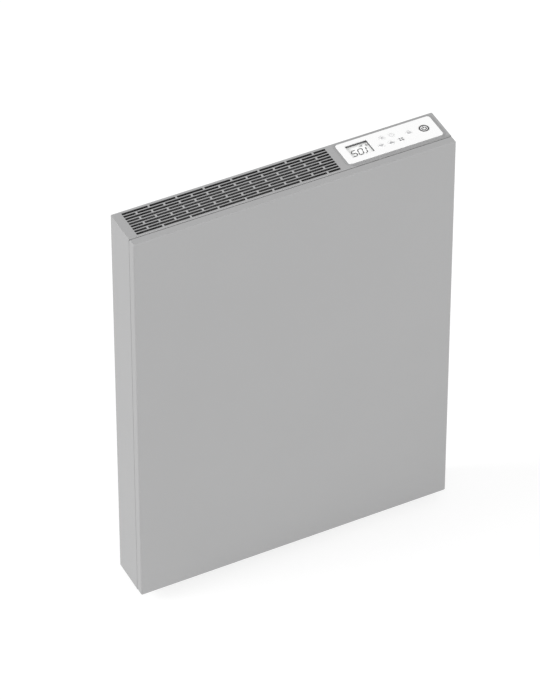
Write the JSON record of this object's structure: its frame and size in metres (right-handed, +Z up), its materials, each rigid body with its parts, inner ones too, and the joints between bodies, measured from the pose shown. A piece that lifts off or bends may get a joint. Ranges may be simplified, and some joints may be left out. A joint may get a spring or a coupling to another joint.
{
  "type": "electric radiator",
  "caption": "Slim wall-hung electric radiator: steel casing with a slotted top grille, and a white top control panel with a display, small push keys and a round power key.",
  "frame": {"origin": "centre of the four wall screws, on the wall's face, level with the middle of the casing", "axes": "+Y points into the wall, so the radiator's front faces -Y; +Z is up; +X is to the right seen from the front, towards the control panel's power key"},
  "size_m": [0.45, 0.08, 0.615],
  "materials": {
    "casing_paint": "fine textured powder coat, light grey",
    "galvanised_steel": "galvanised sheet",
    "zinc_screws": "zinc plated",
    "bumper_rubber": "matt",
    "mineral_board": "pressed mineral fibre",
    "bright_sheet": "bright",
    "storage_ceramic": "unglazed",
    "element_steel": "drawn tube, darkened by heat",
    "bush_ceramic": "unglazed",
    "terminal_brass": "tinned in places",
    "cutout_body": "moulded",
    "block_plastic": "moulded",
    "earth_insulation": "wire covering",
    "live_insulation": "wire covering",
    "neutral_insulation": "wire covering",
    "sensor_insulation": "wire covering",
    "sensor_tip": "moulded",
    "gland_plastic": "moulded",
    "bezel_plastic": "satin",
    "fascia_plastic": "smooth white",
    "gasket_plastic": "matt",
    "window_clear": "clear",
    "display_panel": "pale display",
    "board_laminate": "green lacquer",
    "switch_plastic": "moulded",
    "housing_plastic": "moulded",
    "transformer_body": "potted",
    "capacitor_can": "sleeved can"
  },
  "bodies": {
    "wall_bracket": {"upper_bracket": "galvanised_steel", "lower_bracket": "galvanised_steel", "bracket_bumpers": "bumper_rubber"},
    "heater": {"rear_casing": "casing_paint", "top_plate": "casing_paint", "bottom_plate": "casing_paint", "front_panel": "casing_paint", "panel_catches": "galvanised_steel", "core_lower_brackets": "galvanised_steel", "core_upper_brackets": "galvanised_steel", "control_shield": "galvanised_steel", "panel_screws": "zinc_screws", "plate_screws": "zinc_screws", "shield_screws": "zinc_screws", "bracket_screws": "zinc_screws", "housing_screws": "zinc_screws", "board_screws": "zinc_screws", "terminal_screws": "zinc_screws", "earth_stud": "zinc_screws", "insulation_board": "mineral_board", "heat_shield": "bright_sheet", "core_rear": "storage_ceramic", "core_front": "storage_ceramic", "heating_element": "element_steel", "element_bushes": "bush_ceramic", "element_terminals": "terminal_brass", "thermal_cutout": "cutout_body", "terminal_block": "block_plastic", "sensor_clip": "block_plastic", "earth_wire": "earth_insulation", "live_wire": "live_insulation", "element_lead_lower": "live_insulation", "element_lead_upper": "live_insulation", "cutout_lead": "live_insulation", "neutral_wire": "neutral_insulation", "sensor_wire": "sensor_insulation", "room_sensor": "sensor_tip", "cable_gland": "gland_plastic", "gland_nut": "gland_plastic", "control_bezel": "bezel_plastic", "control_fascia": "fascia_plastic", "lcd_gasket": "gasket_plastic", "lcd_window": "window_clear", "lcd_module": "display_panel", "display_board": "board_laminate", "power_board": "board_laminate", "tactile_switches": "switch_plastic", "relay": "switch_plastic", "control_housing": "housing_plastic", "transformer": "transformer_body", "capacitor": "capacitor_can"},
    "key_down": {"key_down": "fascia_plastic"},
    "key_up": {"key_up": "fascia_plastic"},
    "key_menu": {"key_menu": "fascia_plastic"},
    "key_mode": {"key_mode": "fascia_plastic"},
    "key_timer": {"key_timer": "fascia_plastic"},
    "key_lock": {"key_lock": "fascia_plastic"},
    "power_key": {"power_key": "fascia_plastic"}
  },
  "joints": [
    {"name": "lift_off", "type": "slide", "parent": "wall_bracket", "child": "heater", "axis": [0, 0, 1], "range_m": [0, 0.0145]},
    {"name": "key_down_press", "type": "slide", "parent": "heater", "child": "key_down", "axis": [0, 0, -1], "range_m": [0, 0.0008], "stiffness_N_per_m": 600},
    {"name": "key_up_press", "type": "slide", "parent": "heater", "child": "key_up", "axis": [0, 0, -1], "range_m": [0, 0.0008], "stiffness_N_per_m": 600},
    {"name": "key_menu_press", "type": "slide", "parent": "heater", "child": "key_menu", "axis": [0, 0, -1], "range_m": [0, 0.0008], "stiffness_N_per_m": 600},
    {"name": "key_mode_press", "type": "slide", "parent": "heater", "child": "key_mode", "axis": [0, 0, -1], "range_m": [0, 0.0008], "stiffness_N_per_m": 600},
    {"name": "key_timer_press", "type": "slide", "parent": "heater", "child": "key_timer", "axis": [0, 0, -1], "range_m": [0, 0.0008], "stiffness_N_per_m": 600},
    {"name": "key_lock_press", "type": "slide", "parent": "heater", "child": "key_lock", "axis": [0, 0, -1], "range_m": [0, 0.0008], "stiffness_N_per_m": 600},
    {"name": "power_key_press", "type": "slide", "parent": "heater", "child": "power_key", "axis": [0, 0, -1], "range_m": [0, 0.0008], "stiffness_N_per_m": 600}
  ]
}
